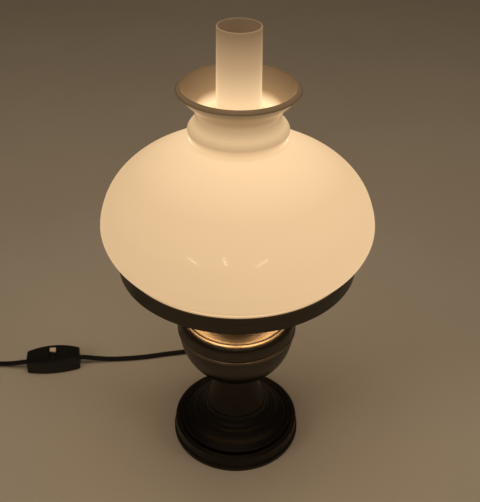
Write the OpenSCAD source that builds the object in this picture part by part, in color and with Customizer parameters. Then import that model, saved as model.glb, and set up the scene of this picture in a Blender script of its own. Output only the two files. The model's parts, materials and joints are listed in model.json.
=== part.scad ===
// Electric table lamp in the form of an oil lamp: round foot, flared stem, bowl-shaped font,
// burner with lampholder and glass chimney, and an opal glass shade resting on a wide ring.
// A mains cord leaves the back of the foot, runs through a rocker switch and ends in a two-pin plug.
// Frame: origin at the centre of the underside of the foot, +Z up, front towards -Y. Millimetres.

/* [Foot] */
// Radius of the foot where it stands on the table
foot_r = 72.2; // [71.6:0.1:74]
// Radius of the foot's upright wall
foot_wall_r = 70.4; // [69.8:0.1:71]
// Height of the seat that the stem stands on
foot_seat_z = 28.6; // [28:0.1:29.2]
// Height of the cord hole's axis above the table
cord_exit_z = 8; // [7.5:0.1:9]

/* [Font] */
// Radius of the font's round bowl
bowl_r = 62; // [60:0.5:64]
// Height of the bowl's centre
bowl_z = 150; // [149:0.5:151]
// Height of the flat on top of the font
font_top_z = 175.6; // [175:0.1:176.2]
// Wall of the spun font
font_wall = 1.8; // [1.2:0.1:2.2]

/* [Shade] */
// Outer radius of the shade ring
ring_r = 120; // [119.4:0.1:122]
// Height of the shade ring's lower edge
ring_z = 242.2; // [241:0.1:242.3]
// Height of the shade ring's band
ring_h = 17.3; // [15:0.1:20]
// Thickness of the opal glass
glass_wall = 3.6; // [2.5:0.1:4]

/* [Chimney] */
// Radius of the chimney at its top
chimney_r = 20; // [19:0.1:21]
// Height of the chimney's top above the table
chimney_top_z = 484; // [470:1:500]
// Wall of the chimney
chimney_wall = 1.7; // [1.2:0.1:2.2]

/* [Cord] */
// Diameter of the mains cord
cord_d = 6; // [5.6:0.1:6]
// Length of the switch body
switch_l = 66; // [64:1:68]
// Width of the switch body at its middle
switch_w = 33; // [31:0.5:34]
// Height of the switch body at its middle
switch_h = 21; // [20.6:0.1:21.4]
// Full swing of the rocker, in degrees
rocker_swing = 30; // [20:1:30]

/* [Hidden] */
$fn = 96;

pewter = "#6d6257";
dark_pewter = "#4a4038";
brass_colour = "#b08d57";
steel_colour = "#9a9a9a";
iron_colour = "#3a3a3a";
black_plastic = "#16151a";
cream_plastic = "#efe3c6";
opal = "#f3e3c8";
clear_glass = "#cfc9bd";

pipe_r = 5;
pipe_bore_r = 3.9;
pipe_hole_r = 5.2;
pipe_low_z = 17;
pipe_top_z = 192;
plate_t = 3;
pad_t = 1.5;
bottom_plate_t = 1.5;
weight_low_z = pad_t + bottom_plate_t;
weight_top_z = 13.5;
weight_in_r = 30;
weight_out_r = 66;
weight_slot_w = 14;
screw_ring_r = 46;
screw_angles = [30, 150, 270];
bowl_low_z = 92;
band_low_z = 151;
band_top_z = 154.2;
collar_top_z = font_top_z + 2.4;
drum_r = 29;
drum_wall = 1.5;
gallery_z = 204;
gallery_t = 2;
chimney_low_z = gallery_z + gallery_t;
holder_low_z = 184;
holder_top_z = 219;
holder_r = 13.5;
cap_r = 7;
bulb_r = 12.5;
bulb_top_z = 279;
ledge_z = 245.5;
ledge_t = 1.5;
ledge_in_r = 111.5;
ring_t = 1.5;
arm_angles = [270, 30, 150];
seat_gap = 0.3;
arm_w = 9;
arm_t = 1.6;
arm_in_r = drum_r + 4;
arm_rivet_z = 200.9;
ledge_rivet_r = 114.5;
arm_end_z = ledge_z - ledge_t - arm_t - 0.2;
rivet_r = 1.6;
rivet_head_r = 2.4;
rivet_head_t = 1.2;
relief_start_y = 66;
relief_flange_y = 73;
relief_end_y = 96;
cord_r = cord_d / 2;

// Places of the switch, the coil and the plug on the table
switch_x = -234.5;
switch_y = 98;
switch_turn = 8;
switch_split_z = 9.5;
switch_wall = 1.8;
end_drop = 2.6;
side_drop = 5;
rocker_w = 7.8;
rocker_pivot_z = 17;
rocker_reach = 8.6;
slot_w = 8.8;
slot_half = 10.1;
pin_r = 1.25;
coil_x = -356;
coil_y = 54;
coil_in_r = 22;
coil_out_r = 46;
coil_low_z = 1;
coil_high_z = 13;
tie_t = 1;
tie_angle = 12;
plug_x = -399;
plug_z = 7;
plug_relief_y = 4;
plug_back_y = -20;
plug_face_y = -56;
plug_pin_l = 18;
plug_pin_r = 2;
plug_root_r = 1.6;
plug_root_l = 9;
plug_neck_l = 0.5;
plug_pin_gap = 19;

// Routes of the cord's centre line, chosen by hand
lamp_side_route = [[0, 96, 8], [0, 99, 8], [-2, 106, 7.5], [-7, 114, 6.4], [-15, 120, 5], [-25, 123.8, 3.9],
    [-37, 125.2, 3.2], [-50, 124.6, 3], [-65, 122.4, 3], [-80, 119.7, 3], [-94.5, 116.9, 3], [-107, 114, 3],
    [-120, 111.4, 3], [-131, 109.6, 3], [-142.5, 108.3, 3], [-153, 107.4, 3], [-163, 106.6, 3.4],
    [-173, 105.6, 4.7], [-182.5, 104.5, 6.5], [-192, 103.5, 8.4], [-201.8, 102.6, 9.5]];
plug_side_route = [[-267.2, 93.4, 9.5], [-277, 93, 8.2], [-288, 93.9, 5.8], [-300, 95.3, 3.9],
    [-312, 96.4, 3.1], [-326, 97, 3.3], [-344, 97, 4]];
tail_route = [[-399, 44, 10], [-399, 34, 9.6], [-399, 24, 8.2], [-399, 15, 7.2], [-399, 8, 7], [-399, 4, 7]];
lead_route = [[0, 96, 8], [0, 60, 8], [0, 46, 7.6], [0, 34, 7.3], [0, 24, 7.6], [0, 14, 9], [0, 7, 11.4],
    [0, 2.6, 14.4], [0, 0.4, 18], [0, 0, 24], [0, 0, 100], [0, 0, 183]];

// ---- outline helpers -------------------------------------------------------------------

// Points on a round stretch about (cx, cz), from angle a to angle b
function arc(cx, cz, r, a, b, n) = [for (i = [0:n]) [cx + r * cos(a + (b - a) * i / n),
    cz + r * sin(a + (b - a) * i / n)]];

// One point on a smooth curve between b and c, with a and d as its neighbours
function blend(a, b, c, d, t) = 0.5 * (2 * b + (c - a) * t + (2 * a - 5 * b + 4 * c - d) * t * t
    + (3 * b - a - 3 * c + d) * t * t * t);

// A smooth curve through the given points, in steps pieces between each two
function smooth(p, steps) = let (m = len(p) - 1) concat(
    [for (i = [0:m - 1]) for (k = [0:steps - 1])
        blend(p[max(i - 1, 0)], p[i], p[i + 1], p[min(i + 2, m)], k / steps)], [p[m]]);

// The unit direction of an outline at point i
function heading(p, i) = let (d = p[min(i + 1, len(p) - 1)] - p[max(i - 1, 0)]) d / norm(d);

// The outline moved sideways, to the left of its direction, by t at its start and t_end at its end
function beside(p, t, t_end) = [for (i = [0:len(p) - 1]) let (h = heading(p, i),
    w = t + (t_end - t) * pow(i / (len(p) - 1), 6)) p[i] + w * [-h[1], h[0]]];

function reversed(p) = [for (i = [len(p) - 1:-1:0]) p[i]];

// A closed outline of a wall: an outer curve and the same curve moved inwards
function wall(p, t, t_end) = concat(p, reversed(beside(p, t, t_end)));

// ---- swept tube ------------------------------------------------------------------------

function turn_x(a, b) = [a[1] * b[2] - a[2] * b[1], a[2] * b[0] - a[0] * b[2], a[0] * b[1] - a[1] * b[0]];
function unit(v) = v / norm(v);
function along(p, i) = unit(p[min(i + 1, len(p) - 1)] - p[max(i - 1, 0)]);
function tube_ring(p, i, r, sides, ref) = let (t = along(p, i), u = unit(turn_x(t, ref)), v = turn_x(u, t))
    [for (k = [0:sides - 1]) p[i] + r * (cos(360 * k / sides) * u + sin(360 * k / sides) * v)];

// A round tube swept along a route; ref is a direction that the route never takes
module tube(p, r, sides = 10, ref = [0, 0, 1]) {
    n = len(p);
    points = [for (i = [0:n - 1]) each tube_ring(p, i, r, sides, ref)];
    sides_faces = [for (i = [0:n - 2]) for (k = [0:sides - 1]) let (j = (k + 1) % sides)
        each [[i * sides + k, i * sides + j, (i + 1) * sides + j],
            [i * sides + k, (i + 1) * sides + j, (i + 1) * sides + k]]];
    first = [for (k = [sides - 1:-1:0]) k];
    last = [for (k = [0:sides - 1]) (n - 1) * sides + k];
    polyhedron(points, concat([first], sides_faces, [last]), convexity = 6);
}

module ring(r_in, r_out, z, h) {
    translate([0, 0, z]) difference() {
        cylinder(r = r_out, h = h);
        translate([0, 0, -1]) cylinder(r = r_in, h = h + 2);
    }
}

module hex_nut(across, bore_r, z, h) {
    translate([0, 0, z]) difference() {
        cylinder(r = across / 2 / cos(30), h = h, $fn = 6);
        translate([0, 0, -1]) cylinder(r = bore_r, h = h + 2);
    }
}

// ---- foot ------------------------------------------------------------------------------

module foot_outline() {
    low = foot_wall_r - 0.5;
    polygon(concat(
        [[foot_r, 0], [foot_r, 4.4]], arc(foot_r - 1.1, 4.4, 1.1, 0, 80, 4),
        [[foot_wall_r + 0.1, 6], [foot_wall_r + 0.3, 7.2], [foot_wall_r, 17]],
        arc(foot_wall_r - 3.4, 17.2, 3.4, 8, 84, 6),
        smooth([[66.8, 20.6], [65.4, 20.4], [63.8, 19.6], [62.2, 19.1], [60.8, 19.4], [59.2, 20.8],
            [57.6, 22.7], [55.9, 24.1], [53.2, 25.2], [50.4, 26.5], [48.6, 27.6], [47.6, foot_seat_z]], 3),
        [[pipe_hole_r, foot_seat_z], [pipe_hole_r, foot_seat_z - plate_t],
        [44, foot_seat_z - plate_t], [48, 24.4], [53, 22.6], [56.6, 20.6], [59, 18], [62, 16.8],
        [65.6, 17.4], [68.4, 17.4], [low, 16], [low, 0]]));
}

module base_foot() {
    color(dark_pewter) difference() {
        union() {
            rotate_extrude() foot_outline();
            for (a = screw_angles) rotate(a) translate([screw_ring_r, 0, weight_top_z])
                cylinder(r = 4.5, h = 12, $fn = 32);
        }
        for (a = screw_angles) rotate(a) translate([screw_ring_r, 0, weight_top_z - 1])
            cylinder(r = 2, h = 9.5, $fn = 24);
        translate([0, relief_start_y, cord_exit_z]) rotate([-90, 0, 0]) cylinder(r = 4.6, h = 10, $fn = 32);
    }
}

module base_weight() {
    color(iron_colour) difference() {
        ring(weight_in_r, weight_out_r, weight_low_z, weight_top_z - weight_low_z);
        translate([-weight_slot_w / 2, weight_in_r - 8, 0]) cube([weight_slot_w, 50, 20]);
        for (a = screw_angles) rotate(a) translate([screw_ring_r, 0, 0]) {
            cylinder(r = 2.3, h = 20, $fn = 24);
            cylinder(r = 4.2, h = weight_low_z + 3.4, $fn = 32);
        }
    }
}

module weight_screws() {
    color(steel_colour) for (a = screw_angles) rotate(a) translate([screw_ring_r, 0, 0]) difference() {
        union() {
            translate([0, 0, weight_low_z + 0.2]) cylinder(r = 3.8, h = 3.2, $fn = 32);
            translate([0, 0, weight_low_z + 3]) cylinder(r = 2, h = 15, $fn = 24);
        }
        translate([-5, -0.5, weight_low_z - 1]) cube([10, 1, 2.2]);
    }
}

module base_plate() {
    color(steel_colour) translate([0, 0, pad_t]) cylinder(r = foot_wall_r - 0.7, h = bottom_plate_t);
}

module base_pad() {
    color("#2f3b30") cylinder(r = foot_wall_r - 1.4, h = pad_t);
}

// Tapered rubber sleeve: neck in the wall, flange outside, ribs, and a bore for the cord
module cord_relief() {
    color(black_plastic) translate([0, 0, cord_exit_z]) rotate([-90, 0, 0]) rotate_extrude($fn = 48)
        polygon([[cord_r, relief_start_y], [4.9, relief_start_y], [4.9, relief_start_y + 2],
            [4.6, relief_start_y + 2.6], [4.6, relief_flange_y - 0.4], [6.8, relief_flange_y - 0.4],
            [6.8, relief_flange_y + 1.6], [5.6, relief_flange_y + 3], [5, relief_flange_y + 9],
            [4.4, relief_flange_y + 16], [3.9, relief_end_y], [cord_r, relief_end_y]]);
}

// ---- stem ------------------------------------------------------------------------------

module stem() {
    flare = smooth([[32.4, 46], [30.6, 51.5], [28.3, 59.5], [26.7, 67.5], [25.4, 76], [24.2, 84.5],
        [22.8, bowl_low_z]], 3);
    color(pewter) rotate_extrude() polygon(concat(
        [[40, foot_seat_z], [47.4, foot_seat_z], [46.9, 29.6]], arc(45.5, 31.1, 0.75, -20, 110, 5),
        smooth([[44.6, 32.1], [43.4, 32.8], [42.1, 33.5]], 2), arc(41.2, 34, 0.7, -10, 115, 5),
        smooth([[40.2, 35.1], [38.8, 36.2], [37.6, 37.4]], 2), arc(36.6, 38.2, 0.7, -10, 115, 5),
        smooth([[35.7, 39.5], [34.7, 41.3], [33.9, 43.3]], 2), arc(32.9, 44.2, 0.7, -15, 105, 5),
        flare,
        [[pipe_hole_r, bowl_low_z], [pipe_hole_r, bowl_low_z - 2.6], [20.6, bowl_low_z - 2.6],
        [22, 82], [24.4, 66], [28.2, 50.8], [31.2, 43.4], [34.6, 37.4], [38, 34], [40, 32]]));
}

module lamp_pipe() {
    color(brass_colour) ring(pipe_bore_r, pipe_r, pipe_low_z, pipe_top_z - pipe_low_z);
}

module bottom_nut() {
    color(brass_colour) hex_nut(14, pipe_r, foot_seat_z - plate_t - 1.6 - 5, 5);
}

module bottom_washer() {
    color(steel_colour) ring(pipe_hole_r, 14, foot_seat_z - plate_t - 1.6, 1.6);
}

// ---- font ------------------------------------------------------------------------------

module font_bowl() {
    inner_r = bowl_r - font_wall;
    low = -acos(sqrt(bowl_r * bowl_r - pow(bowl_z - bowl_low_z, 2)) / bowl_r);
    high = asin((band_low_z - bowl_z) / bowl_r);
    in_low = -acos(sqrt(inner_r * inner_r - pow(bowl_z - bowl_low_z - font_wall, 2)) / inner_r);
    in_high = asin((band_low_z - bowl_z) / inner_r);
    color(pewter) rotate_extrude() polygon(concat(
        arc(0, bowl_z, bowl_r, low, high, 24), arc(0, bowl_z, inner_r, in_high, in_low, 24),
        [[pipe_hole_r, bowl_low_z + font_wall], [pipe_hole_r, bowl_low_z]]));
}

// Half-round band that covers the seam between the bowl and the top
module font_band() {
    mid = (band_low_z + band_top_z) / 2;
    color(pewter) rotate_extrude() polygon(concat([[60.2, band_low_z], [62.3, band_low_z]],
        arc(62.3, mid, 1.6, -90, 90, 10), [[60.2, band_top_z]]));
}

// Upright side, round shoulder, a fine bead, and a crown that rises gently to the burner
module font_top() {
    side = smooth([[62.6, band_top_z], [63, 158], [62.8, 163], [62, 167], [60.6, 169.6], [58.6, 171.4],
        [56.8, 172.2]], 3);
    crown = smooth([[53.9, 173.1], [48, 174], [42, 174.9], [36, font_top_z]], 3);
    color(pewter) rotate_extrude() polygon(concat(
        side, [[56.1, 172]], arc(54.9, 172.4, 0.9, -5, 140, 6), crown,
        [[pipe_hole_r, font_top_z], [pipe_hole_r, font_top_z - 1.6], [36, font_top_z - 1.6],
        [42, 173.2], [48, 172.3], [54, 170.9], [57.4, 170], [59.4, 168], [60.6, 165.6], [61.2, 162],
        [61.3, 158], [60.8, band_top_z]]));
}

// ---- burner ----------------------------------------------------------------------------

module burner_collar() {
    color(brass_colour) rotate_extrude() polygon([[pipe_hole_r, font_top_z], [35, font_top_z],
        [35, font_top_z + 1], [33.6, collar_top_z], [pipe_hole_r, collar_top_z]]);
}

module collar_nut() {
    color(brass_colour) hex_nut(14, pipe_r, collar_top_z, 4);
}

// Open drum with a row of round air holes and a bead that carries the spider ring
module burner_drum() {
    color(brass_colour) difference() {
        rotate_extrude() polygon(concat([[drum_r - drum_wall, collar_top_z], [drum_r + 2, collar_top_z],
            [drum_r + 2, collar_top_z + 1], [drum_r, collar_top_z + 2.4], [drum_r, 193.2]],
            arc(drum_r, 194.6, 1.4, -90, 90, 6),
            [[drum_r, gallery_z], [drum_r - drum_wall, gallery_z]]));
        for (a = [0:22.5:359]) rotate(a) translate([drum_r - 5, 0, 187]) rotate([0, 90, 0])
            cylinder(r = 2.6, h = 8, $fn = 24);
    }
}

// Plate that carries the chimney: upturned rim and a ring of air holes
module chimney_gallery() {
    color(brass_colour) difference() {
        rotate_extrude() polygon([[15, gallery_z], [36, gallery_z], [38, gallery_z + 1.4],
            [38.6, gallery_z + 6], [37.4, gallery_z + 6], [36.8, chimney_low_z], [15, chimney_low_z]]);
        for (a = [15:30:359]) rotate(a) translate([32.4, 0, gallery_z - 1]) cylinder(r = 2, h = 5, $fn = 24);
    }
}

// Crown of eight spring fingers that stand about the foot of the chimney
module chimney_prongs() {
    finger = 13;
    low = chimney_low_z;
    color(brass_colour) difference() {
        rotate_extrude() polygon([[26.8, low], [28.4, low], [28.4, low + 1.4], [27.6, low + 2.4],
            [27.3, low + 9], [28.1, low + 11], [27.6, low + 11.4], [26.8, low + 9]]);
        for (a = [0:45:359]) rotate(a + finger / 2) rotate_extrude(angle = 45 - finger)
            translate([24, low + 1.4]) square([8, 12]);
    }
}

module lampholder() {
    color("#ece6da") rotate_extrude() polygon([[pipe_r, holder_low_z], [11, holder_low_z],
        [holder_r, holder_low_z + 4], [holder_r, holder_top_z - 1], [holder_r - 1, holder_top_z],
        [8.3, holder_top_z], [8.3, 196], [6, 196], [6, pipe_top_z], [pipe_r, pipe_top_z]]);
}

module holder_shell() {
    color(brass_colour) ring(7.4, 8.3, 196, 22);
}

// Centre contact on a block inside the holder
module holder_contact() {
    color(brass_colour) translate([0, 0, 192.4]) cylinder(r = 4, h = 2.4, $fn = 32);
}

module bulb_cap() {
    color(steel_colour) rotate_extrude($fn = 48) polygon([[0, 197], [3.2, 197], [5.2, 198.4], [cap_r, 200],
        [cap_r, holder_top_z + 1], [0, holder_top_z + 1]]);
}

module bulb_tip() {
    color(brass_colour) translate([0, 0, 194.8]) cylinder(r = 2.4, h = 2.2, $fn = 32);
}

module bulb_glass() {
    low = holder_top_z + 1;
    side = smooth([[6.9, low], [7.6, low + 3], [9.6, low + 7], [11.7, low + 11], [bulb_r, low + 16]], 3);
    t = 0.8;
    color(clear_glass) rotate_extrude($fn = 64) polygon(concat([[0, low]], side,
        arc(0, bulb_top_z - bulb_r, bulb_r, 0, 90, 10),
        arc(0, bulb_top_z - bulb_r, bulb_r - t, 90, 0, 10),
        [[bulb_r - t, low + 16], [10.8, low + 11], [8.7, low + 7], [6.8, low + 3], [5.9, low + 1],
        [0, low + 1]]));
}

// Glass stem with two support wires and the coiled filament between them
module bulb_filament() {
    low = holder_top_z + 2;
    color("#ffcf7a") {
        translate([0, 0, low]) cylinder(r1 = 3, r2 = 1.4, h = 14, $fn = 24);
        for (s = [-1, 1]) translate([s * 5.5, 0, low + 14]) rotate([0, s * -6, 0])
            cylinder(r = 0.45, h = 26, $fn = 16);
        translate([-6.2, 0, low + 13.6]) rotate([0, 90, 0]) cylinder(r = 0.6, h = 12.4, $fn = 16);
        translate([-3.2, 0, low + 38.5]) rotate([0, 90, 0]) cylinder(r = 0.8, h = 6.4, $fn = 16);
    }
}

// ---- chimney ---------------------------------------------------------------------------

module chimney() {
    low = chimney_low_z + seat_gap;
    side = smooth([[26.1, low], [26.1, low + 6], [26.2, low + 12], [26.5, low + 19], [26.7, low + 27],
        [26.7, low + 37], [26.1, low + 49], [24.4, low + 62], [22.8, low + 78], [21.7, low + 100],
        [chimney_r + 1, low + 150], [chimney_r + 0.6, low + 220], [chimney_r, chimney_top_z]], 3);
    color(clear_glass) rotate_extrude() polygon(wall(side, chimney_wall, chimney_wall));
}

// ---- shade holder ----------------------------------------------------------------------

module spider_ring() {
    color(pewter) difference() {
        ring(drum_r + 0.1, drum_r + 4, 196, 7);
        for (a = arm_angles) rotate(a) translate([drum_r - 2, 0, arm_rivet_z]) rotate([0, 90, 0])
            cylinder(r = rivet_r, h = 10, $fn = 24);
    }
}

// One flat arm, bent in an S from the spider ring out to the ledge of the shade ring
module shade_arm(a) {
    path = smooth([[arm_in_r, gallery_z - seat_gap], [arm_in_r, 200.6], [arm_in_r, 197.8], [34.6, 195.4],
        [38.6, 194.6], [45, 195.8], [58, 200.4], [74, 210.4], [88, 223.6], [98, 235], [103.6, 240.4],
        [109, arm_end_z], [113, arm_end_z], [117.5, arm_end_z]], 3);
    color(pewter) rotate(a) difference() {
        rotate([90, 0, 0]) translate([0, 0, -arm_w / 2]) linear_extrude(arm_w)
            polygon(wall(path, arm_t, arm_t));
        translate([drum_r, 0, arm_rivet_z]) rotate([0, 90, 0]) cylinder(r = rivet_r, h = 12, $fn = 24);
        translate([ledge_rivet_r, 0, arm_end_z - 2]) cylinder(r = rivet_r, h = 8, $fn = 24);
    }
}

module shade_arm_front() {
    shade_arm(arm_angles[0]);
}

module shade_arm_right() {
    shade_arm(arm_angles[1]);
}

module shade_arm_left() {
    shade_arm(arm_angles[2]);
}

module arm_rivets() {
    head_x = arm_in_r + arm_t;
    color(brass_colour) for (a = arm_angles) rotate(a) {
        translate([drum_r + 0.4, 0, arm_rivet_z]) rotate([0, 90, 0])
            cylinder(r = rivet_r, h = head_x - drum_r, $fn = 24);
        translate([head_x + 0.05, 0, arm_rivet_z]) rotate([0, 90, 0])
            cylinder(r1 = rivet_head_r, r2 = 1.8, h = rivet_head_t, $fn = 32);
        translate([ledge_rivet_r, 0, arm_end_z - 0.5])
            cylinder(r = rivet_r, h = ledge_z - arm_end_z + 0.4, $fn = 24);
        translate([ledge_rivet_r, 0, arm_end_z - 0.1 - rivet_head_t])
            cylinder(r = rivet_head_r, h = rivet_head_t, $fn = 32);
    }
}

// Band with an inner ledge that the shade's collar stands on
module shade_ring() {
    in_r = ring_r - ring_t;
    color(pewter) difference() {
        rotate_extrude($fn = 144) polygon([[ring_r - 0.4, ring_z], [ring_r, ring_z + 0.4],
            [ring_r, ring_z + ring_h - 0.4], [ring_r - 0.4, ring_z + ring_h],
            [in_r + 0.3, ring_z + ring_h], [in_r, ring_z + ring_h - 0.4],
            [in_r, ledge_z], [ledge_in_r, ledge_z], [ledge_in_r, ledge_z - ledge_t],
            [in_r, ledge_z - ledge_t], [in_r, ring_z]]);
        for (a = arm_angles) rotate(a) translate([ledge_rivet_r, 0, ledge_z - 4])
            cylinder(r = rivet_r, h = 8, $fn = 24);
    }
}

// Opal glass: short collar, wide belly, low shoulder, rolled neck bead, waist and flared lip
module glass_shade() {
    side = smooth([[116.2, ledge_z + seat_gap], [116.2, 252], [116.3, 256.4], [117.6, 260.2], [120.8, 263.8],
        [125, 267.6], [130.2, 275.4], [133.5, 284], [134.2, 292], [132.2, 302.5], [126.6, 317],
        [117.6, 330], [104.6, 342], [88.6, 352], [70, 363], [55.6, 370.4], [48.4, 374.6], [45.8, 378.6],
        [46.5, 383.4], [47.4, 387.4], [46.2, 391], [43.2, 394.2], [41, 397.4], [40.1, 401], [40.5, 405],
        [42.3, 409.8], [45.6, 414.2], [49.7, 418.2], [53.8, 422.2], [57.1, 426.6]], 3);
    color(opal, 0.9) rotate_extrude($fn = 144) polygon(wall(side, glass_wall, 5.4));
}

// ---- inner lead ------------------------------------------------------------------------

module inner_lead() {
    color(black_plastic) tube(lead_route, cord_r - 0.05, 10, [1, 0, 0]);
}

// ---- switch ----------------------------------------------------------------------------

module at_switch() {
    translate([switch_x, switch_y, 0]) rotate(switch_turn) children();
}

// Barrel-shaped block: the sides and the top both swell towards the middle
module switch_block(inset) {
    half = switch_l / 2;
    side_r = (half * half + side_drop * side_drop) / 2 / side_drop;
    top_r = (half * half + end_drop * end_drop) / 2 / end_drop;
    intersection() {
        linear_extrude(30) intersection() {
            square([switch_l - 2 * inset, switch_w], center = true);
            translate([0, side_r - switch_w / 2]) circle(r = side_r - inset, $fn = 200);
            translate([0, switch_w / 2 - side_r]) circle(r = side_r - inset, $fn = 200);
        }
        rotate([90, 0, 0]) translate([0, 0, -25]) linear_extrude(50) intersection() {
            translate([-half, inset]) square([switch_l, 30]);
            translate([0, switch_h - top_r]) circle(r = top_r - inset, $fn = 200);
        }
    }
}

module switch_cord_hole() {
    translate([-switch_l, 0, switch_split_z]) rotate([0, 90, 0])
        cylinder(r = cord_r + 0.05, h = 2 * switch_l, $fn = 32);
}

module screw_places() {
    for (s = [-1, 1]) translate([s * 16, s * 9, 0]) children();
}

module switch_base() {
    color(black_plastic) at_switch() difference() {
        intersection() {
            switch_block(0);
            translate([-50, -50, 0]) cube([100, 100, switch_split_z]);
        }
        intersection() {
            switch_block(switch_wall);
            translate([-50, -50, 0]) cube([100, 100, 20]);
        }
        switch_cord_hole();
        screw_places() {
            cylinder(r = 1.3, h = 20, $fn = 24);
            translate([0, 0, -1]) cylinder(r = 2.4, h = 2.2, $fn = 24);
        }
    }
}

module switch_cover() {
    lug_x = rocker_w / 2 + 0.8;
    color(black_plastic) at_switch() difference() {
        union() {
            difference() {
                intersection() {
                    switch_block(0);
                    translate([-50, -50, switch_split_z]) cube([100, 100, 30]);
                }
                switch_block(switch_wall);
            }
            intersection() {
                union() {
                    screw_places() translate([0, 0, switch_split_z]) cylinder(r = 2.8, h = 12, $fn = 32);
                    for (s = [-1, 1]) translate([s * (lug_x + 1) - 1, -4, rocker_pivot_z - 3])
                        cube([2, 8, 8]);
                }
                switch_block(0.4);
            }
        }
        translate([-slot_w / 2, -slot_half, switch_split_z]) cube([slot_w, 2 * slot_half, 20]);
        screw_places() translate([0, 0, switch_split_z - 1]) cylinder(r = 1.2, h = 9, $fn = 24);
        translate([-8, 0, rocker_pivot_z]) rotate([0, 90, 0]) cylinder(r = pin_r, h = 16, $fn = 32);
        switch_cord_hole();
    }
}

// Rocker with two lobes, drawn tipped back, with its rear lobe standing up
module switch_rocker() {
    color(cream_plastic) at_switch() translate([0, 0, rocker_pivot_z]) rotate([rocker_swing / 2, 0, 0])
        difference() {
            rotate([90, 0, 90]) translate([0, 0, -rocker_w / 2]) linear_extrude(rocker_w)
                polygon(concat([[-rocker_reach, 5.2], [-rocker_reach, 0]], arc(0, 4, 6.6, 215, 325, 8),
                    [[rocker_reach, 0], [rocker_reach, 5.2], [5, 4.2], [0, 3.8], [-5, 4.2]]));
            translate([-10, 0, 0]) rotate([0, 90, 0]) cylinder(r = pin_r + 0.06, h = 20, $fn = 32);
        }
}

module rocker_pin() {
    color(steel_colour) at_switch() translate([-7, 0, rocker_pivot_z]) rotate([0, 90, 0])
        cylinder(r = pin_r, h = 14, $fn = 32);
}

module switch_screws() {
    color(steel_colour) at_switch() screw_places() difference() {
        union() {
            translate([0, 0, 0.1]) cylinder(r = 2.2, h = 1.1, $fn = 24);
            translate([0, 0, 1]) cylinder(r = 1.2, h = 13, $fn = 24);
        }
        translate([-3, -0.35, -0.5]) cube([6, 0.7, 1.1]);
    }
}

module switch_terminals() {
    color(brass_colour) at_switch() for (s = [-1, 1])
        translate([s * 20 - 4, -3.5, switch_wall]) difference() {
        cube([8, 7, 9]);
        translate([4, 3.5, 3]) cylinder(r = 1.3, h = 12, $fn = 24);
        translate([-1, 3.5, 5.2]) rotate([0, 90, 0]) cylinder(r = 1.6, h = 10, $fn = 24);
    }
}

module contact_blade() {
    color(brass_colour) at_switch() translate([-14, -3, switch_wall]) {
        cube([28, 6, 0.8]);
        cube([0.8, 6, 5]);
        translate([27.2, 0, 0]) cube([0.8, 6, 5]);
    }
}

// ---- cord, coil and plug ---------------------------------------------------------------

module cord_lamp_side() {
    color(black_plastic) tube(lamp_side_route, cord_r);
}

module cord_plug_side() {
    color(black_plastic) tube(plug_side_route, cord_r);
}

module cord_coil() {
    color(black_plastic) translate([coil_x, coil_y, 0])
        ring(coil_in_r, coil_out_r, coil_low_z, coil_high_z - coil_low_z);
}

// Flat strap closed about the bundle of turns
module cord_tie() {
    color("#2a2a2e") translate([coil_x, coil_y, 0]) for (a = [300])
        rotate(a) rotate_extrude(angle = tie_angle) difference() {
            translate([coil_in_r - tie_t, coil_low_z - tie_t])
                square([coil_out_r - coil_in_r + 2 * tie_t, coil_high_z - coil_low_z + 2 * tie_t]);
            translate([coil_in_r, coil_low_z]) square([coil_out_r - coil_in_r, coil_high_z - coil_low_z]);
        }
}

module cord_tail() {
    color(black_plastic) tube(tail_route, cord_r);
}

module at_plug(y) {
    translate([plug_x, y, plug_z]) rotate([90, 0, 0]) children();
}

module plug_relief() {
    color(black_plastic) at_plug(plug_relief_y) rotate_extrude($fn = 48)
        polygon([[0, 0], [3.9, 0], [4.3, 8], [4.9, 16], [5.6, 24], [0, 24]]);
}

// Flat two-pin plug body, wide at the pin face and narrow at the cord
module plug_body() {
    color(black_plastic) difference() {
        translate([plug_x, plug_back_y, 0]) rotate([0, 0, 180]) linear_extrude(2 * plug_z)
            polygon([[-7.5, 0], [7.5, 0], [9, 4], [11, 12], [14.6, 20], [17.2, 26], [17.6, 30], [17.6, 36],
                [-17.6, 36], [-17.6, 30], [-17.2, 26], [-14.6, 20], [-11, 12], [-9, 4]]);
        for (s = [-1, 1]) translate([s * plug_pin_gap / 2, 0, 0]) at_plug(plug_face_y + plug_root_l)
            cylinder(r = plug_root_r, h = plug_root_l + 1, $fn = 32);
    }
}

// Pins: thin roots held in the body, and a round-nosed 4 mm pin from just clear of its face
module plug_pins() {
    low = plug_root_l + plug_neck_l;
    color(steel_colour) for (s = [-1, 1]) translate([s * plug_pin_gap / 2, 0, 0])
        at_plug(plug_face_y + plug_root_l) {
            cylinder(r = plug_root_r, h = low, $fn = 32);
            translate([0, 0, low]) cylinder(r = plug_pin_r, h = plug_pin_l, $fn = 32);
            translate([0, 0, low + plug_pin_l]) cylinder(r1 = plug_pin_r, r2 = 1.2, h = 1, $fn = 32);
        }
}

base_foot();
base_weight();
weight_screws();
base_plate();
base_pad();
cord_relief();
stem();
lamp_pipe();
bottom_nut();
bottom_washer();
font_bowl();
font_band();
font_top();
burner_collar();
collar_nut();
burner_drum();
chimney_gallery();
chimney_prongs();
lampholder();
holder_shell();
holder_contact();
bulb_cap();
bulb_tip();
bulb_glass();
bulb_filament();
chimney();
spider_ring();
shade_arm_front();
shade_arm_right();
shade_arm_left();
arm_rivets();
shade_ring();
glass_shade();
inner_lead();
switch_base();
switch_cover();
switch_rocker();
rocker_pin();
switch_screws();
switch_terminals();
contact_blade();
cord_lamp_side();
cord_plug_side();
cord_coil();
cord_tie();
cord_tail();
plug_relief();
plug_body();
plug_pins();
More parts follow.
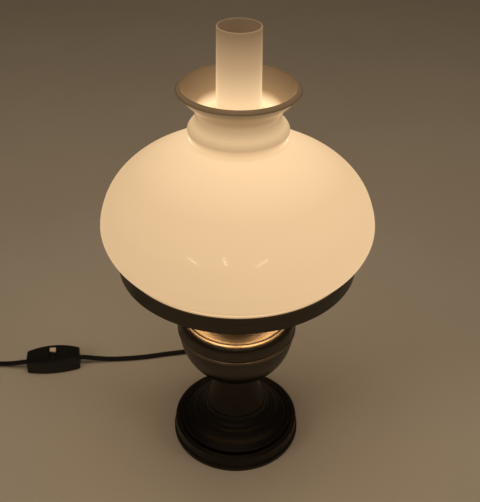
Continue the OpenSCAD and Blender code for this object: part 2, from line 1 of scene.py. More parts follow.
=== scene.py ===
"""Looks of an electric oil-style table lamp: opal shade, frosted chimney and brushed pewter body.

Lengths in this script are millimetres until they go into a mesh, where MM turns them into metres.
"""

import json
import math

import bpy
import numpy as np
from mathutils import Matrix, Vector

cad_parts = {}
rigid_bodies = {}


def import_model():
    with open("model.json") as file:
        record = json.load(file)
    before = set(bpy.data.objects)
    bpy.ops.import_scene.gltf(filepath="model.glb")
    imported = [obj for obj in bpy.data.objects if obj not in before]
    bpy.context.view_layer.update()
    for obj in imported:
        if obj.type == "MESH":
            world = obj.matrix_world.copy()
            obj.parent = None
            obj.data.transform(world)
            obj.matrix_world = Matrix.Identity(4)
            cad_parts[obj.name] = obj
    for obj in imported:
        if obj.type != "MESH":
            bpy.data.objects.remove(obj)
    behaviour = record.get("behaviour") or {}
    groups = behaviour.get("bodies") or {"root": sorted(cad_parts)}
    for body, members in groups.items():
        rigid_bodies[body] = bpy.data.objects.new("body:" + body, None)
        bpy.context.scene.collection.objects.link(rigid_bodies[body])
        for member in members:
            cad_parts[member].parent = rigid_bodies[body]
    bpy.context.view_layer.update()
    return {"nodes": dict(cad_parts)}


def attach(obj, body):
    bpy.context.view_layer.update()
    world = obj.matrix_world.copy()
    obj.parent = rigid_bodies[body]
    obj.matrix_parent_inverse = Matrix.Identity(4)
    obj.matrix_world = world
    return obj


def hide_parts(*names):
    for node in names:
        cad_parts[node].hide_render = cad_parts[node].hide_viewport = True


MM = 0.001
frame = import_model()


# ---- camera ----------------------------------------------------------------------------

def place_camera():
    """A camera a little above the shade, looking down at the lamp."""
    pitch, yaw, roll = math.radians(34.83), math.radians(0.28), math.radians(0.67)
    ahead = np.array([math.sin(yaw) * math.cos(pitch), math.cos(yaw) * math.cos(pitch), -math.sin(pitch)])
    level = np.array([math.cos(yaw), -math.sin(yaw), 0.0])
    above = np.cross(level, ahead)
    right = math.cos(roll) * level + math.sin(roll) * above
    up = -math.sin(roll) * level + math.cos(roll) * above
    lens = bpy.data.cameras.new("camera")
    lens.sensor_width = 36.0
    lens.lens = 57.7
    camera = bpy.data.objects.new("camera", lens)
    turn = Matrix([list(row) for row in np.stack([right, up, -ahead], 1)]).to_4x4()
    camera.matrix_world = Matrix.Translation((-0.6 * MM, -671 * MM, 717 * MM)) @ turn
    bpy.context.scene.collection.objects.link(camera)
    bpy.context.scene.camera = camera


place_camera()


# ---- meshes from formulas --------------------------------------------------------------

def grid_mesh(name, points, uv, around=True, closed=False):
    """A mesh on a grid of points, rows x columns x 3. Columns close round if around, rows if closed.

    Faces join each point to its neighbour in the next row and the next column; uv holds one pair of
    coordinates for each corner of the grid, with an extra row or column where the grid closes.
    """
    rows, cols = points.shape[:2]
    i = np.arange(rows if closed else rows - 1)[:, None]
    j = np.arange(cols if around else cols - 1)[None, :]
    i2, j2 = (i + 1) % rows, (j + 1) % cols
    quads = np.stack(np.broadcast_arrays(i * cols + j, i * cols + j2, i2 * cols + j2, i2 * cols + j), -1)
    quads = quads.reshape(-1, 4)
    corner = np.stack([np.stack(np.broadcast_arrays(i + a, j + b), -1) for a, b in
                       ((0, 0), (0, 1), (1, 1), (1, 0))], 2).reshape(-1, 2)
    mesh = bpy.data.meshes.new(name)
    mesh.vertices.add(rows * cols)
    mesh.vertices.foreach_set("co", (points.reshape(-1) * MM).astype(np.float32))
    mesh.loops.add(quads.size)
    mesh.loops.foreach_set("vertex_index", quads.reshape(-1).astype(np.int32))
    mesh.polygons.add(len(quads))
    mesh.polygons.foreach_set("loop_start", (np.arange(len(quads)) * 4).astype(np.int32))
    mesh.update(calc_edges=True)
    mesh.uv_layers.new(name="UVMap").data.foreach_set("uv", uv[corner[:, 0], corner[:, 1]].reshape(-1))
    mesh.shade_smooth()
    mesh.validate()
    piece = bpy.data.objects.new(name, mesh)
    bpy.context.scene.collection.objects.link(piece)
    return piece


def smooth(points, steps):
    """A smooth curve through points: cubic pieces whose slopes come from each point's neighbours."""
    p = np.asarray(points, float)
    q = np.concatenate([p[:1], p, p[-1:]])
    t = np.linspace(0, 1, steps, endpoint=False)[:, None, None]
    a, b, c, d = q[:-3], q[1:-2], q[2:-1], q[3:]
    curve = 0.5 * (2 * b + (c - a) * t + (2 * a - 5 * b + 4 * c - d) * t ** 2
                   + (3 * b - a - 3 * c + d) * t ** 3)
    return np.concatenate([curve.transpose(1, 0, 2).reshape(-1, p.shape[1]), p[-1:]])


def arc(centre, radius, start, end, steps):
    """Points on a round stretch about centre, from angle start to angle end in degrees."""
    t = np.radians(np.linspace(start, end, steps))
    return np.stack([centre[0] + radius * np.cos(t), centre[1] + radius * np.sin(t)], 1)


def beside(p, t):
    """The curve p moved to the left of its direction by t, one value or one for each point."""
    d = np.gradient(p, axis=0)
    d /= np.linalg.norm(d, axis=1)[:, None]
    return p + np.reshape(t, (-1, 1)) * np.stack([-d[:, 1], d[:, 0]], 1)


def rounded(points, radius, steps=4):
    """A closed outline whose corners are rounded.

    Each corner is a quadratic curve that starts and ends radius away along its two edges, or a third
    of the edge where that is less, with one more point beyond each end so that flat parts shade flat.
    """
    p = np.asarray(points, float)
    before, after = np.roll(p, 1, 0) - p, np.roll(p, -1, 0) - p
    long_before = np.linalg.norm(before, axis=1)[:, None]
    long_after = np.linalg.norm(after, axis=1)[:, None]
    a = p + before / long_before * np.minimum(radius, long_before * 0.3)
    b = p + after / long_after * np.minimum(radius, long_after * 0.3)
    t = np.linspace(0, 1, steps)[:, None, None]
    curve = (1 - t) ** 2 * a + 2 * t * (1 - t) * p + t ** 2 * b
    curve = np.concatenate([(a + (a - p) * 0.4)[None], curve, (b + (b - p) * 0.4)[None]])
    return curve.transpose(1, 0, 2).reshape(-1, 2)


def thin_out(p, least=0.02):
    """The outline without points that lie closer than least to the one before."""
    keep = np.concatenate([[True], np.linalg.norm(np.diff(p, axis=0), axis=1) > least])
    return p[keep]


def lathe(name, outline, sides=160, closed=True):
    """The outline (radius, height) turned about the Z axis. UV runs round the piece and along the outline."""
    outline = thin_out(np.asarray(outline, float))
    t = np.linspace(0, 2 * np.pi, sides, endpoint=False)
    r, z = outline[:, :1], outline[:, 1:]
    points = np.stack([r * np.cos(t), r * np.sin(t), z + 0 * t], -1)
    steps = np.linalg.norm(np.diff(outline, axis=0, append=outline[:1]), axis=1)
    run = np.concatenate([[0], np.cumsum(steps)])
    uv = np.stack(np.meshgrid(np.linspace(0, 1, sides + 1), run / run[-1]), -1)
    return grid_mesh(name, points, uv, closed=closed)


def joined(name, pieces):
    """One object from several, with their meshes put together."""
    bpy.ops.object.select_all(action="DESELECT")
    for piece in pieces:
        piece.select_set(True)
    bpy.context.view_layer.objects.active = pieces[0]
    bpy.ops.object.join()
    pieces[0].name = name
    return pieces[0]


def moved(piece, matrix):
    """The piece with the matrix put into its mesh, so that its object stays at the origin."""
    piece.data.transform(matrix)
    return piece


def turned_about_y(piece, x, y, z):
    """A lathe piece laid down, with its axis along -Y from the point (x, y, z)."""
    lay_down = Matrix.Rotation(math.radians(90), 4, "X")
    return moved(piece, Matrix.Translation((x * MM, y * MM, z * MM)) @ lay_down)


def swept(name, path, radius, sides=14):
    """A round tube along path: a circle at each point, square to the path and kept upright."""
    ahead = np.gradient(path, axis=0)
    ahead /= np.linalg.norm(ahead, axis=1)[:, None]
    side = np.cross(ahead, [0, 0, 1.0])
    side /= np.linalg.norm(side, axis=1)[:, None]
    up = np.cross(side, ahead)
    t = np.linspace(0, 2 * np.pi, sides, endpoint=False)[None, :, None]
    radius = np.broadcast_to(np.asarray(radius, float).reshape(-1, 1, 1), (len(path), 1, 1))
    points = path[:, None] + radius * (np.cos(t) * side[:, None] + np.sin(t) * up[:, None])
    # both ends close on a single point
    first, last = np.repeat(path[:1, None], sides, 1), np.repeat(path[-1:, None], sides, 1)
    points = np.concatenate([first, points, last])
    run = np.concatenate([[0], np.cumsum(np.linalg.norm(np.diff(path, axis=0), axis=1))])
    run = np.concatenate([run[:1], run, run[-1:]])
    uv = np.stack(np.meshgrid(np.linspace(0, 1, sides + 1), run * MM), -1)
    piece = grid_mesh(name, points, uv)
    merge_close(piece)
    return piece


def merge_close(piece, distance=1e-6):
    """Closes seams and poles: points that lie on each other become one."""
    import bmesh
    work = bmesh.new()
    work.from_mesh(piece.data)
    bmesh.ops.remove_doubles(work, verts=work.verts, dist=distance)
    bmesh.ops.dissolve_degenerate(work, edges=work.edges, dist=distance)
    bmesh.ops.recalc_face_normals(work, faces=work.faces)
    work.to_mesh(piece.data)
    work.free()
    piece.data.shade_smooth()


# ---- cord ------------------------------------------------------------------------------

CORD_D = 6.0
COIL_X, COIL_Y = -356.0, 54.0
COIL_R_OUT, COIL_R_IN = 43.0, 25.0
COIL_TURNS = 3
COIL_LOW, COIL_HIGH = 4.0, 10.0

# from the foot to the switch
LAMP_SIDE = [(0, 73.5, 8), (0, 85, 8), (0, 96, 8), (0, 99, 8), (-2, 106, 7.5), (-7, 114, 6.4), (-15, 120, 5),
             (-25, 123.8, 3.9), (-37, 125.2, 3.2), (-50, 124.6, 3), (-65, 122.4, 3), (-80, 119.7, 3),
             (-94.5, 116.9, 3), (-107, 114, 3), (-120, 111.4, 3), (-131, 109.6, 3), (-142.5, 108.3, 3),
             (-153, 107.4, 3), (-163, 106.6, 3.4), (-173, 105.6, 4.7), (-182.5, 104.5, 6.5),
             (-192, 103.5, 8.4), (-201.8, 102.6, 9.5)]
# through the switch and on to the coil
PLUG_SIDE = [(-234.5, 98, 9.5), (-267.2, 93.4, 9.5), (-277, 93, 8.2), (-288, 93.9, 5.8), (-300, 95.3, 3.9),
             (-312, 96.4, 3.1), (-326, 97, 3.3), (-344, 97, 4)]
# from the coil into the plug
TAIL = [(-399, 44, 10), (-399, 34, 9.6), (-399, 24, 8.2), (-399, 15, 7.2), (-399, 8, 7), (-399, -6, 7)]


def coil_points(steps=24):
    """The wound part: in along the table, a quarter turn of climb, and out again on top.

    The radius falls by one cord diameter each turn and grows by one each turn on the way back.
    """
    flat = COIL_TURNS * steps
    climb = steps // 4
    angle = 90 + np.arange(2 * flat + climb + 1) * 360 / steps
    k = np.arange(2 * flat + climb + 1)
    share_in, share_out = np.clip(k / flat, 0, 1), np.clip((k - flat - climb) / flat, 0, 1)
    radius = COIL_R_OUT + (COIL_R_IN - COIL_R_OUT) * (share_in - share_out)
    rise = np.clip((k - flat) / climb, 0, 1)
    height = COIL_LOW + (COIL_HIGH - COIL_LOW) * rise * rise * (3 - 2 * rise)
    t = np.radians(angle)
    return np.stack([COIL_X + radius * np.cos(t), COIL_Y + radius * np.sin(t), height], 1)


def make_cord():
    route = np.concatenate([LAMP_SIDE, PLUG_SIDE, coil_points(), TAIL])
    path = smooth(route, 4)
    cord = swept("mains_cord", path, CORD_D / 2)
    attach(cord, "lamp")
    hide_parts("cord_lamp_side", "cord_plug_side", "cord_coil", "cord_tail")
    return cord, path


mains_cord, cord_path = make_cord()


# ---- outlines of the lathe-turned pieces -------------------------------------------------

def foot_outline():
    """A stepped skirt, an upright wall with a round rim, a soft cove, and a disc that rises to the stem."""
    cove = smooth([(66.8, 20.6), (65.4, 20.4), (63.8, 19.6), (62.2, 19.1), (60.8, 19.4), (59.2, 20.8),
                   (57.6, 22.7), (55.9, 24.1), (53.2, 25.2), (50.4, 26.5), (48.6, 27.6), (47.6, 28.6)], 5)
    return np.concatenate([
        [(72.2, 0.2), (72.2, 4.4)], arc((71.1, 4.4), 1.1, 0, 80, 6), [(70.6, 5.9), (70.7, 7.2), (70.4, 17)],
        arc((67, 17.2), 3.4, 8, 84, 10), cove,
        [(40, 28.6), (40, 26), (48, 24.4), (53, 22.6), (56.6, 20.6), (59, 18), (62, 16.8), (65.6, 17.4),
         (68.4, 17.4), (69.9, 16), (69.9, 0.2)]])


def stem_outline():
    """Four fine beads climb from the foot, then one long hollow curve runs up to the bowl."""
    flare = smooth([(32.4, 46), (30.6, 51.5), (28.3, 59.5), (26.7, 67.5), (25.4, 76), (24.2, 84.5),
                    (22.8, 92)], 8)
    return np.concatenate([
        [(44, 28.6), (47.3, 28.7), (46.9, 29.6)], arc((45.5, 31.1), 0.75, -20, 110, 8),
        smooth([(44.6, 32.1), (43.4, 32.8), (42.1, 33.5)], 3), arc((41.2, 34), 0.7, -10, 115, 8),
        smooth([(40.2, 35.1), (38.8, 36.2), (37.6, 37.4)], 3), arc((36.6, 38.2), 0.7, -10, 115, 8),
        smooth([(35.7, 39.5), (34.7, 41.3), (33.9, 43.3)], 3), arc((32.9, 44.2), 0.7, -15, 105, 8), flare,
        [(20.6, 91.6), (22, 82), (24.4, 66), (28.2, 50.8), (31.2, 43.4), (34.6, 37.4), (38, 34), (42, 29)]])


def bowl_outline():
    return np.concatenate([arc((0, 150), 62, -69.3, 0.9, 48), arc((0, 150), 60.2, 0.9, -66, 30),
                           [(21.9, 93.6)]])


def band_outline():
    return np.concatenate([[(60.4, 151)], arc((62.3, 152.6), 1.6, -90, 90, 16), [(60.4, 154.2)]])


def top_outline():
    """An upright side with a round shoulder, one fine bead, and a crown that rises gently to the burner."""
    side = smooth([(62.6, 154.2), (63, 158), (62.8, 163), (62, 167), (60.6, 169.6), (58.6, 171.4),
                   (56.8, 172.2)], 6)
    crown = smooth([(53.9, 173.1), (48, 174), (42, 174.9), (36, 175.6)], 5)
    return np.concatenate([
        side, [(56.1, 172)], arc((54.9, 172.4), 0.9, -5, 140, 10), crown,
        [(30, 175.6), (30, 174), (36, 174), (42, 173.2), (48, 172.3), (54, 170.9), (57.4, 170), (59.4, 168),
         (60.6, 165.6), (61.2, 162), (61.3, 158), (60.8, 154.2)]])


def ring_outline():
    return rounded([(120, 242.2), (120, 259.5), (118.5, 259.5), (118.5, 245.5), (111.5, 245.5), (111.5, 244),
                    (118.5, 244), (118.5, 242.2)], 0.35)


def glass_outline():
    """Opal glass from its collar over the belly, shoulder, neck bead and waist to the flared lip."""
    side = smooth([(116.2, 245.8), (116.2, 252), (116.3, 256.4), (117.6, 260.2), (120.8, 263.8), (125, 267.6),
                   (130.2, 275.4), (133.5, 284), (134.2, 292), (132.2, 302.5), (126.6, 317), (117.6, 330),
                   (104.6, 342), (88.6, 352), (70, 363), (55.6, 370.4), (48.4, 374.6), (45.8, 378.6),
                   (46.5, 383.4), (47.4, 387.4), (46.2, 391), (43.2, 394.2), (41, 397.4), (40.1, 401),
                   (40.5, 405), (42.3, 409.8), (45.6, 414.2), (49.7, 418.2), (53.8, 422.2), (57.1, 426.6)], 6)
    thick = 3.6 + 1.8 * np.linspace(0, 1, len(side)) ** 6
    return np.concatenate([side, beside(side, thick)[::-1]])


def chimney_outline():
    """The chimney's wall: a straight foot, a bulge about the lamp glass, a long taper and a round lip."""
    side = smooth([(26.1, 206.3), (26.1, 212.3), (26.2, 218.3), (26.5, 225.3), (26.7, 233.3), (26.7, 243.3),
                   (26.1, 255.3), (24.4, 268.3), (22.8, 284.3), (21.7, 306.3), (21, 356.3), (20.6, 426.3),
                   (20, 483)], 6)
    inner = beside(side, 1.7)[::-1]
    lip = arc((19.15, 483.1), 0.85, 10, 170, 8)
    return np.concatenate([side, lip, inner])


# ---- materials -------------------------------------------------------------------------

class Finish:
    """A material under construction: its node tree, and short ways to add and join nodes."""

    def __init__(self, name):
        self.material = bpy.data.materials.new(name)
        self.material.use_nodes = True
        self.tree = self.material.node_tree
        self.shader = self.tree.nodes["Principled BSDF"]

    def node(self, kind, settings=(), **inputs):
        made = self.tree.nodes.new(kind)
        for key, value in dict(settings).items():
            setattr(made, key, value)
        for key, value in inputs.items():
            self.feed(made, key.replace("_", " "), value)
        return made

    def feed(self, node, socket, value):
        target = node.inputs[int(socket) if str(socket).isdigit() else socket]
        if isinstance(value, bpy.types.NodeSocket):
            self.tree.links.new(value, target)
        else:
            target.default_value = value

    def set(self, **inputs):
        for key, value in inputs.items():
            self.feed(self.shader, key.replace("_", " "), value)

    def math(self, operation, a, b=0.0):
        made = self.node("ShaderNodeMath", {"operation": operation})
        self.feed(made, 0, a)
        self.feed(made, 1, b)
        return made.outputs[0]

    def place(self):
        """X, Y and Z of the point on the object, and its distance from the Z axis, in metres."""
        here = self.node("ShaderNodeTexCoord").outputs["Object"]
        parts = self.node("ShaderNodeSeparateXYZ")
        self.feed(parts, 0, here)
        x, y, z = parts.outputs
        away = self.math("SQRT", self.math("ADD", self.math("MULTIPLY", x, x), self.math("MULTIPLY", y, y)))
        return here, x, y, z, away

    def ramp(self, value, stops):
        """A colour ramp on value: stops are (position, colour)."""
        made = self.node("ShaderNodeValToRGB")
        self.feed(made, 0, value)
        band = made.color_ramp
        while len(band.elements) < len(stops):
            band.elements.new(0.5)
        for element, (at, colour) in zip(band.elements, stops):
            element.position = at
            element.color = (*colour, 1)
        return made.outputs[0]

    def mix(self, share, a, b):
        """Colour a where share is 0 and colour b where it is 1."""
        made = self.node("ShaderNodeMix", {"data_type": "RGBA"})
        for socket, value in zip((made.inputs[0], made.inputs[6], made.inputs[7]), (share, a, b)):
            if isinstance(value, bpy.types.NodeSocket):
                self.tree.links.new(value, socket)
            else:
                socket.default_value = value
        return made.outputs[2]

    def noise(self, vector, scale, detail=3.0, roughness=0.5):
        made = self.node("ShaderNodeTexNoise", Scale=scale, Detail=detail, Roughness=roughness)
        self.feed(made, "Vector", vector)
        return made.outputs["Fac"]

    def span(self, value, low, high, to_low, to_high):
        made = self.node("ShaderNodeMapRange")
        for socket, v in zip(range(5), (value, low, high, to_low, to_high)):
            self.feed(made, socket, v)
        return made.outputs[0]

    def bump(self, height, strength, distance):
        made = self.node("ShaderNodeBump", Strength=strength, Distance=distance)
        self.feed(made, "Height", height)
        self.feed(self.shader, "Normal", made.outputs[0])


def pewter(name, light, dark, rough=0.34):
    """Lathe-brushed metal: fine rings about the lamp's axis, soft patches of tarnish, darker grain lines.

    The rings are noise of (distance from the axis, height), which drifts slowly round the piece.
    """
    f = Finish(name)
    here, x, y, z, away = f.place()
    ring = f.node("ShaderNodeCombineXYZ")
    f.feed(ring, 0, f.math("MULTIPLY", away, 2600.0))
    f.feed(ring, 1, f.math("MULTIPLY", z, 2600.0))
    f.feed(ring, 2, f.math("ADD", f.math("MULTIPLY", x, 26.0), f.math("MULTIPLY", y, 19.0)))
    lines = f.noise(ring.outputs[0], 1.0, 4.0, 0.65)
    coarse = f.node("ShaderNodeVectorMath", {"operation": "MULTIPLY"})
    f.feed(coarse, 0, ring.outputs[0])
    f.feed(coarse, 1, (0.22, 0.22, 0.5))
    bands = f.noise(coarse.outputs[0], 1.0, 3.0, 0.6)
    patches = f.noise(here, 24.0, 4.0, 0.6)
    blend = f.math("ADD", f.math("MULTIPLY", lines, 0.45),
                   f.math("ADD", f.math("MULTIPLY", bands, 0.3), f.math("MULTIPLY", patches, 0.25)))
    f.set(Base_Color=f.ramp(blend, [(0.36, dark), (0.62, light)]), Metallic=1.0,
          Roughness=f.span(f.math("ADD", lines, patches), 0.7, 1.3, rough - 0.06, rough + 0.1),
          Anisotropic=0.6)
    tangent = f.node("ShaderNodeTangent", {"direction_type": "UV_MAP"})
    tangent.uv_map = "UVMap"
    f.feed(f.shader, "Tangent", tangent.outputs[0])
    f.bump(lines, 0.35, 0.00012)
    return f.material


def plain_metal(name, light, dark, rough, scale=160.0):
    """Turned or pressed metal with small clouded marks."""
    f = Finish(name)
    here = f.place()[0]
    clouds = f.noise(here, scale, 4.0, 0.6)
    f.set(Base_Color=f.ramp(clouds, [(0.35, dark), (0.65, light)]), Metallic=1.0,
          Roughness=f.span(clouds, 0.3, 0.7, rough, rough + 0.12))
    f.bump(clouds, 0.2, 0.0001)
    return f.material


def plastic(name, light, dark, rough, grain=900.0, coat=0.0):
    """Moulded plastic or rubber: a fine spark-eroded grain and a faint change of tone."""
    f = Finish(name)
    here = f.place()[0]
    clouds, fine = f.noise(here, 60.0, 3.0), f.noise(here, grain, 2.0)
    f.set(Base_Color=f.ramp(clouds, [(0.3, dark), (0.7, light)]),
          Roughness=f.span(fine, 0.3, 0.7, rough - 0.05, rough + 0.08))
    f.shader.inputs["Coat Weight"].default_value = coat
    f.bump(fine, 0.15, 0.0001)
    return f.material


# brightness of the lit glass at a few heights, in metres: the seat, the belly, the shoulder's top, the
# crease above the bead, the foot of the waist, the lip and its edge
SHADE_SPAN = (0.24, 0.43)
# the low step at 0.388, on the bead's face, is painted shade where the glass turns away
SHADE_GLOW = [(0.246, 0.5), (0.27, 0.65), (0.345, 0.65), (0.376, 0.85), (0.388, 0.45), (0.394, 0.65),
              (0.41, 0.22), (0.428, 0.02)]
# the inner side of the lip, which the bulb lights directly
LIP_SPAN = (0.39, 0.44)
LIP_GLOW = [(0.402, 1.0), (0.412, 0.2), (0.43, 0.045)]
# the chimney: bright near the bulb, fading upwards, with a brighter cut rim
CHIMNEY_SPAN = (0.20, 0.49)
CHIMNEY_GLOW = [(0.206, 0.7), (0.3, 0.95), (0.42, 0.9), (0.45, 0.48), (0.483, 0.15), (0.4836, 0.24)]


def warm_glow(brightness):
    """Warm white that reddens as it dims: green and blue fall off faster than red."""
    return (brightness, 0.71 * brightness ** 1.1, 0.41 * brightness ** 1.2)


def stops_at(glow, span):
    """The steps of a glow as colours placed by their share of its span."""
    return [((z - span[0]) / (span[1] - span[0]), warm_glow(level)) for z, level in glow]


def opal_glass():
    """Opal glass lit from inside, under a glossy skin.

    The glow follows the height: even over the belly, strongest where the shoulder nears the bulb,
    painted shade where the glass turns away at the bead, and fading up the waist to the lip. One side is
    made a little brighter than the other, which is painted light.
    """
    f = Finish("opal_glass")
    here, x, y, z, away = f.place()
    cloud = f.math("MULTIPLY", f.math("SUBTRACT", f.noise(here, 7.0, 2.0), 0.5), 0.004)
    outside = f.ramp(f.span(f.math("ADD", z, cloud), *SHADE_SPAN, 0.0, 1.0), stops_at(SHADE_GLOW, SHADE_SPAN))
    within = f.ramp(f.span(z, *LIP_SPAN, 0.0, 1.0), stops_at(LIP_GLOW, LIP_SPAN))
    # the inner side of the flared lip lies above the cone of its outer side, and the waist's lies close in
    flare = f.span(f.math("SUBTRACT", z, away), 0.3695, 0.3725, 0.0, 1.0)
    close = f.span(away, 0.0375, 0.039, 1.0, 0.0)
    inner = f.math("MAXIMUM", flare, close)
    base = f.ramp(f.span(z, 0.39, 0.43, 0.0, 1.0), [(0.0, (0.44, 0.36, 0.26)), (0.6, (0.26, 0.205, 0.14))])
    # the glow grows stronger from -X to +X: painted light, one side brighter than the other
    f.set(Base_Color=base, Roughness=0.1, Emission_Color=f.mix(inner, outside, within),
          Emission_Strength=f.span(x, -0.12, 0.12, 0.91, 1.07))
    f.shader.inputs["IOR"].default_value = 1.5
    return f.material


def chimney_glass():
    """Acid-frosted glass: a soft translucent wall that glows near the bulb and greys towards the top."""
    f = Finish("chimney_glass")
    here, x, y, z, away = f.place()
    glow = f.ramp(f.span(z, *CHIMNEY_SPAN, 0.0, 1.0), stops_at(CHIMNEY_GLOW, CHIMNEY_SPAN))
    # the tube tapers evenly above the bulge, and its inner side is dimmer than its frosted outer side
    straightened = f.math("ADD", away, f.math("MULTIPLY", f.math("SUBTRACT", z, 0.356), 0.0079))
    outer = f.span(straightened, 0.0198, 0.0203, 0.0, 1.0)
    speckle = f.noise(here, 2200.0, 2.0)
    f.set(Base_Color=(0.36, 0.30, 0.235, 1), Roughness=f.span(speckle, 0.3, 0.7, 0.38, 0.5), Alpha=0.86,
          Emission_Color=f.mix(outer, (0.035, 0.02, 0.01, 1), glow), Emission_Strength=1.0)
    f.bump(speckle, 0.1, 0.0001)
    return f.material


def glowing(name, colour, strength):
    """A lit surface: bright at its middle and softer where faint clouds cross it."""
    f = Finish(name)
    clouds = f.noise(f.place()[0], 240.0, 2.0)
    dimmer = tuple(0.86 * c for c in colour)
    f.set(Base_Color=(0.8, 0.75, 0.65, 1), Roughness=0.35,
          Emission_Color=f.ramp(clouds, [(0.3, dimmer), (0.7, colour)]), Emission_Strength=strength)
    return f.material


PEWTER = pewter("pewter", (0.105, 0.09, 0.075), (0.062, 0.053, 0.043))
# a darker copy of the pewter for the foot and the stem: painted shade, for the shade that falls on them under
# the bowl
PEWTER_IN_PAINTED_SHADE = pewter("dark_pewter", (0.055, 0.048, 0.041), (0.032, 0.027, 0.023), 0.4)
# a lighter, glossier copy for the seam band: the gloss is its polish, the lighter colour is a painted
# highlight
PEWTER_POLISH_AND_HIGHLIGHT = pewter("bright_pewter", (0.30, 0.255, 0.20), (0.19, 0.16, 0.125), 0.26)
BRASS = plain_metal("brass", (0.62, 0.44, 0.22), (0.38, 0.25, 0.11), 0.3)
STEEL = plain_metal("steel", (0.60, 0.60, 0.59), (0.42, 0.42, 0.41), 0.3, 400.0)
NICKEL = plain_metal("nickel", (0.78, 0.76, 0.72), (0.62, 0.60, 0.57), 0.16, 300.0)
IRON = plain_metal("iron", (0.14, 0.13, 0.125), (0.05, 0.048, 0.046), 0.55, 90.0)
FELT = plastic("felt", (0.05, 0.07, 0.055), (0.03, 0.042, 0.033), 0.9, 2600.0)
RUBBER = plastic("black_rubber", (0.010, 0.009, 0.010), (0.005, 0.005, 0.005), 0.60, 1400.0)
BLACK = plastic("black_plastic", (0.008, 0.007, 0.007), (0.004, 0.004, 0.004), 0.45, 1800.0)
WHITE = plastic("white_plastic", (0.78, 0.74, 0.66), (0.70, 0.66, 0.58), 0.4)
OPAL = opal_glass()
FROSTED = chimney_glass()
ARM_METAL = plain_metal("arm_metal", (0.22, 0.18, 0.14), (0.12, 0.095, 0.07), 0.36)
LAMP_GLASS = glowing("lamp_glass", (1.0, 0.80, 0.52), 1.0)
GLOWING = glowing("filament", (1.0, 0.72, 0.38), 4.0)


def finish_with(piece, material, body, slot, *nodes):
    """Gives a piece its material, its body and the CAD nodes that it stands for; the slot argument is not
    used.
    """
    piece.data.materials.clear()
    piece.data.materials.append(material)
    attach(piece, body)
    if nodes:
        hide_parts(*nodes)
    return piece


# ---- lathe-turned pieces ---------------------------------------------------------------

def turned(name, outline, material, body, slot, *nodes, sides=96):
    """A lathe piece on the lamp's axis, finished and placed on its body."""
    return finish_with(lathe(name, outline, sides), material, body, slot, *nodes)


def bulb_outline():
    """Candle-shaped lamp glass: a neck, a straight barrel and a round end, with a thin wall."""
    side = smooth([(6.9, 220), (7.6, 223), (9.6, 227), (11.7, 231), (12.5, 236), (12.5, 266.5)], 6)
    outer = np.concatenate([side[:-1], arc((0, 266.5), 12.5, 0, 89.5, 20)])
    inner = np.concatenate([arc((0, 266.5), 11.7, 89.5, 0, 14), beside(side, 0.8)[::-1][1:]])
    return np.concatenate([outer, inner])


def screw_cap(name, low, high, radius, pitch=2.8, depth=0.55, sides=72):
    """E14 cap: a tube whose radius rises and falls once in each pitch and gains a turn each round.

    radius(t, z) = radius - depth * (1 - cos(2 pi (z / pitch - t / 2 pi))) / 2, faded out at both ends.
    """
    z = np.linspace(low, high, 90)[:, None]
    t = np.linspace(0, 2 * np.pi, sides, endpoint=False)[None, :]
    fade = np.clip((z - low) / 2, 0, 1) * np.clip((high - 3 - z) / 2, 0, 1)
    wave = (1 - np.cos(2 * np.pi * z / pitch - t)) / 2
    r = radius - depth * wave * fade
    cone = np.array([[0.01, low - 3.0], [3.2, low - 3.0], [3.4, low - 2.9], [5.2, low - 1.6]])
    r = np.concatenate([np.repeat(cone[:, :1], sides, 1), r, np.full((1, sides), 0.01)])
    z = np.concatenate([np.repeat(cone[:, 1:], sides, 1), z + 0 * t, np.full((1, sides), high)])
    points = np.stack([r * np.cos(t), r * np.sin(t), z], -1)
    uv = np.stack(np.meshgrid(np.linspace(0, 1, sides + 1), np.linspace(0, 1, len(r))), -1)
    piece = grid_mesh(name, points, uv)
    merge_close(piece, 3e-5)
    return piece


finish_with(mains_cord, RUBBER, "lamp", "black_rubber")
turned("foot", foot_outline(), PEWTER_IN_PAINTED_SHADE, "lamp", "dark_pewter", "base_foot", sides=192)
turned("flared_stem", stem_outline(), PEWTER_IN_PAINTED_SHADE, "lamp", "dark_pewter", "stem", sides=144)
turned("bowl", bowl_outline(), PEWTER, "lamp", "pewter", "font_bowl", sides=192)
turned("seam_band", band_outline(), PEWTER_POLISH_AND_HIGHLIGHT, "lamp", "pewter", "font_band", sides=192)
turned("stepped_top", top_outline(), PEWTER, "lamp", "pewter", "font_top", sides=192)
turned("wide_ring", ring_outline(), PEWTER, "lamp", "pewter", "shade_ring", sides=288)
turned("opal_shade", glass_outline(), OPAL, "shade", "opal_glass", "glass_shade", sides=256)
turned("frosted_chimney", chimney_outline(), FROSTED, "chimney", "chimney_glass", "chimney", sides=144)
turned("felt_pad", rounded([(0.02, 0), (69, 0), (69, 1.5), (0.02, 1.5)], 0.5),
       FELT, "lamp", "felt", "base_pad")
turned("collar_disc", rounded([(5.2, 175.6), (35, 175.6), (35, 176.8), (33.4, 178), (5.2, 178)], 0.35), BRASS,
       "lamp", "brass", "burner_collar")
turned("heat_proof_holder", rounded([(5, 184), (11, 184), (13.5, 188), (13.5, 218), (12.5, 219), (8.3, 219),
                                     (8.3, 196), (6, 196), (6, 192), (5, 192)], 0.5), WHITE, "lamp",
       "white_plastic", "lampholder")
turned("threaded_sleeve", rounded([(7.4, 196), (8.3, 196), (8.3, 218), (7.4, 218)], 0.2),
       BRASS, "lamp", "brass", "holder_shell", sides=64)
turned("lamp_glass", bulb_outline(), LAMP_GLASS, "bulb", "bulb_glass", "bulb_glass", sides=72)
finish_with(screw_cap("screw_cap", 200, 220, 7.0), NICKEL, "bulb", "nickel", "bulb_cap")
